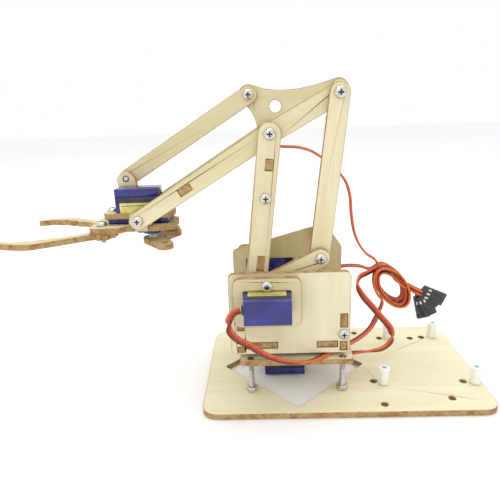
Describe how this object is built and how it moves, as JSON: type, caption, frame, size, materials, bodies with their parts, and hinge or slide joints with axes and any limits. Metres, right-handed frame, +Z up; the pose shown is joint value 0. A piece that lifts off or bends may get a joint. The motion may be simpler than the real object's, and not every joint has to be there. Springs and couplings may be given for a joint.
{
  "type": "desktop robot arm kit",
  "caption": "Laser-cut plywood desktop robot arm with parallel links, a two-jaw gripper and micro servos, on a base plate with standoffs for a controller board.",
  "frame": {"origin": "on the base plate's underside, on its centre line, 60 mm behind the turntable axis, under the controller board's place", "axes": "+X forward, towards the gripper; +Y to the arm's left; +Z up, along the turntable axis"},
  "size_m": [0.2487, 0.089, 0.1613],
  "materials": {
    "plywood": "bare birch plywood, laser-cut, with brown burnt edges",
    "servo_blue": "translucent blue moulded case with a black and gold label",
    "steel": "nickel-plated M3 screws and nuts",
    "nylon": "white nylon",
    "horn_white": "white moulded servo horn",
    "lead_ribbon": "brown, red and orange wires side by side",
    "connector_black": "black three-way crimp housings"
  },
  "bodies": {
    "base": {"base_plate": "plywood", "post_screw_1": "steel", "post_screw_2": "steel", "post_screw_3": "steel", "post_screw_4": "steel", "servo_deck": "plywood", "base_servo": "servo_blue", "standoff_1": "nylon", "standoff_2": "nylon", "standoff_3": "nylon", "standoff_4": "nylon", "base_lead": "lead_ribbon"},
    "turntable": {"turntable_floor": "plywood", "left_side_plate": "plywood", "right_side_plate": "plywood", "front_cross_plate": "plywood", "rear_cross_plate": "plywood", "left_servo": "servo_blue", "right_servo": "servo_blue", "left_collar": "plywood", "right_collar": "plywood", "fixed_link_screw": "steel", "left_lead": "lead_ribbon", "right_lead": "lead_ribbon", "lead_bundle": "lead_ribbon", "lead_connectors": "connector_black"},
    "upper_arm": {"upper_arm_left": "plywood", "upper_arm_right": "plywood", "upper_arm_brace": "plywood", "shoulder_horn": "horn_white", "elbow_screw_left": "steel", "elbow_screw_right": "steel", "gripper_lead": "lead_ribbon"},
    "elbow_crank": {"elbow_crank": "plywood", "elbow_horn": "horn_white"},
    "crank_pin": {"crank_screw": "steel"},
    "drive_link": {"drive_link": "plywood"},
    "rear_level_link": {"rear_level_link": "plywood"},
    "level_triangle": {"level_triangle": "plywood", "triangle_screw_front": "steel", "triangle_screw_rear": "steel"},
    "front_level_link": {"front_level_link": "plywood"},
    "forearm": {"forearm_left": "plywood", "forearm_right": "plywood", "forearm_brace": "plywood", "forearm_rear_screw": "steel"},
    "gripper": {"gripper_plate": "plywood", "gripper_servo": "servo_blue", "gripper_collar": "plywood", "gripper_ear_left": "plywood", "gripper_ear_right": "plywood", "wrist_screw_left": "steel", "wrist_screw_right": "steel", "front_link_screw": "steel", "jaw_left_screw": "steel", "jaw_right_screw": "steel"},
    "jaw_left": {"jaw_left": "plywood"},
    "jaw_right": {"jaw_right": "plywood"},
    "gripper_lever": {"gripper_lever": "plywood"},
    "gripper_link": {"gripper_link": "plywood"}
  },
  "joints": [
    {"name": "base_yaw", "type": "hinge", "parent": "base", "child": "turntable", "pos_m": [0.06, 0, 0.03], "axis": [0, 0, 1], "range_deg": [-85, 85], "deforming": ["base_lead"]},
    {"name": "shoulder", "type": "hinge", "parent": "turntable", "child": "upper_arm", "pos_m": [0.08, 0, 0.056], "axis": [0, -1, 0], "range_deg": [-38, 12], "deforming": ["gripper_lead"]},
    {"name": "triangle_at_elbow", "type": "hinge", "parent": "upper_arm", "child": "level_triangle", "pos_m": [0.07108, 0, 0.1355], "axis": [0, -1, 0], "range_deg": [-12, 38]},
    {"name": "elbow", "type": "hinge", "parent": "level_triangle", "child": "forearm", "pos_m": [0.07108, 0, 0.1355], "axis": [0, -1, 0], "range_deg": [-14, 36], "deforming": ["gripper_lead"]},
    {"name": "fixed_pivot", "type": "hinge", "parent": "turntable", "child": "rear_level_link", "pos_m": [0.0425, 0, 0.0765], "axis": [0, -1, 0], "range_deg": [-38, 12]},
    {"name": "crank_shaft", "type": "hinge", "parent": "turntable", "child": "elbow_crank", "pos_m": [0.08, 0, 0.056], "axis": [0, -1, 0], "range_deg": [-14, 36]},
    {"name": "crank_pin_in_crank", "type": "hinge", "parent": "elbow_crank", "child": "crank_pin", "pos_m": [0.04689, 0, 0.07361], "axis": [0, -1, 0], "range_deg": [-36, 14]},
    {"name": "crank_pin_in_link", "type": "hinge", "parent": "crank_pin", "child": "drive_link", "pos_m": [0.04689, 0, 0.07361], "axis": [0, -1, 0], "range_deg": [-38, 12]},
    {"name": "front_link_top", "type": "hinge", "parent": "level_triangle", "child": "front_level_link", "pos_m": [0.08138, 0, 0.1544], "axis": [0, -1, 0], "range_deg": [-14, 36]},
    {"name": "wrist", "type": "hinge", "parent": "forearm", "child": "gripper", "pos_m": [0.13966, 0, 0.0943], "axis": [0, -1, 0], "range_deg": [-36, 14]},
    {"name": "grip", "type": "hinge", "parent": "gripper", "child": "gripper_lever", "pos_m": [0.13606, -0.00495, 0.0813], "axis": [0, 0, 1], "range_deg": [-8, 24]},
    {"name": "lever_to_link", "type": "hinge", "parent": "gripper_lever", "child": "gripper_link", "pos_m": [0.12688, -0.01806, 0.0823], "axis": [0, 0, 1], "range_deg": [-24, 8]},
    {"name": "jaw_left_pivot", "type": "hinge", "parent": "gripper", "child": "jaw_left", "pos_m": [0.16116, 0.00255, 0.0863], "axis": [0, 0, 1], "range_deg": [-24, 8]},
    {"name": "jaw_right_pivot", "type": "hinge", "parent": "gripper", "child": "jaw_right", "pos_m": [0.16116, -0.01245, 0.0863], "axis": [0, 0, 1], "range_deg": [-8, 24]}
  ],
  "couplings": [
    {"joint": "triangle_at_elbow", "follows": "shoulder", "ratio": -1},
    {"joint": "fixed_pivot", "follows": "shoulder", "ratio": 1},
    {"joint": "crank_pin_in_link", "follows": "shoulder", "ratio": 1},
    {"joint": "crank_shaft", "follows": "elbow", "ratio": 1},
    {"joint": "crank_pin_in_crank", "follows": "elbow", "ratio": -1},
    {"joint": "front_link_top", "follows": "elbow", "ratio": 1},
    {"joint": "wrist", "follows": "elbow", "ratio": -1},
    {"joint": "lever_to_link", "follows": "grip", "ratio": -1},
    {"joint": "jaw_left_pivot", "follows": "grip", "ratio": -1},
    {"joint": "jaw_right_pivot", "follows": "grip", "ratio": 1}
  ]
}
